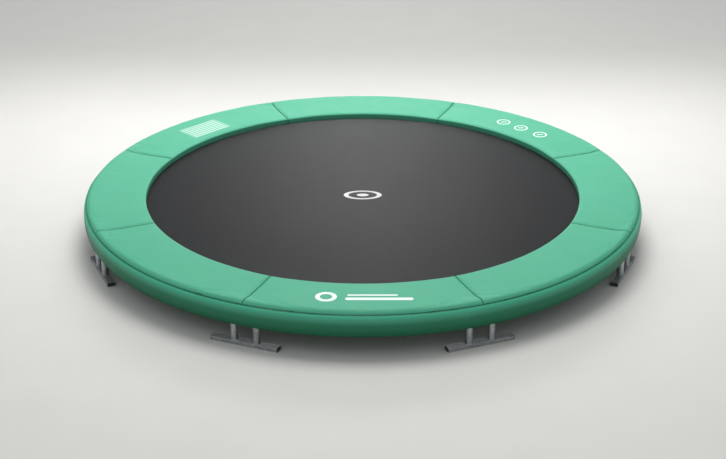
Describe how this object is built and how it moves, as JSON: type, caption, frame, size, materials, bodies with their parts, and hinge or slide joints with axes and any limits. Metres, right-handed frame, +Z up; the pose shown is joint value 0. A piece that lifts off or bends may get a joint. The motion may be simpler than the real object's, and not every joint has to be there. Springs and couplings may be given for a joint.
{
  "type": "trampoline",
  "caption": "Low round trampoline for a pit in the ground: a sprung woven mat inside a padded ring, on a short-legged tube frame.",
  "frame": {"origin": "centre of the mat, on the plane of the feet's flat undersides", "axes": "+Z up; -Y is the front, where the middle of pad panel 1 is; +X to the right seen from the front"},
  "size_m": [3.707, 3.707, 0.2984],
  "materials": {
    "galvanised_tube": "satin",
    "zinc_plated_steel": "satin",
    "spring_steel": "satin",
    "black_plastic": "matte",
    "black_webbing": "matte",
    "mat_weave": "satin",
    "pad_fabric": "satin",
    "pad_foam": "matte"
  },
  "bodies": {
    "frame": {"top_rail_1": "galvanised_tube", "top_rail_2": "galvanised_tube", "top_rail_3": "galvanised_tube", "top_rail_4": "galvanised_tube", "top_rail_5": "galvanised_tube", "top_rail_6": "galvanised_tube", "top_rail_7": "galvanised_tube", "top_rail_8": "galvanised_tube", "leg_frame_1": "galvanised_tube", "leg_frame_2": "galvanised_tube", "leg_frame_3": "galvanised_tube", "leg_frame_4": "galvanised_tube", "leg_frame_5": "galvanised_tube", "leg_frame_6": "galvanised_tube", "leg_frame_7": "galvanised_tube", "leg_frame_8": "galvanised_tube", "foot_plugs": "black_plastic", "leg_bolts": "zinc_plated_steel", "leg_washers": "zinc_plated_steel", "leg_nuts": "zinc_plated_steel", "rail_joint_screws": "zinc_plated_steel", "springs": "spring_steel", "pad_cover": "pad_fabric", "pad_top_foam_1": "pad_foam", "pad_top_foam_2": "pad_foam", "pad_top_foam_3": "pad_foam", "pad_top_foam_4": "pad_foam", "pad_top_foam_5": "pad_foam", "pad_top_foam_6": "pad_foam", "pad_top_foam_7": "pad_foam", "pad_top_foam_8": "pad_foam", "pad_side_foam_1": "pad_foam", "pad_side_foam_2": "pad_foam", "pad_side_foam_3": "pad_foam", "pad_side_foam_4": "pad_foam", "pad_side_foam_5": "pad_foam", "pad_side_foam_6": "pad_foam", "pad_side_foam_7": "pad_foam", "pad_side_foam_8": "pad_foam", "pad_straps": "black_webbing"},
    "mat_rim": {"mat_hem_webbing": "black_webbing", "ring_loops": "black_webbing", "v_rings": "zinc_plated_steel"},
    "mat_bed": {"jumping_mat": "mat_weave"}
  },
  "joints": [
    {"name": "rim_drop", "type": "slide", "parent": "frame", "child": "mat_rim", "axis": [0, 0, 1], "range_m": [-0.08, 0], "stiffness_N_per_m": 3000, "springref_m": 0.05, "deforming": ["springs"]},
    {"name": "mat_bounce", "type": "slide", "parent": "mat_rim", "child": "mat_bed", "axis": [0, 0, 1], "range_m": [-0.32, 0], "stiffness_N_per_m": 3000, "springref_m": 0.05}
  ],
  "couplings": [
    {"joint": "rim_drop", "follows": "mat_bounce", "ratio": 0.25}
  ]
}
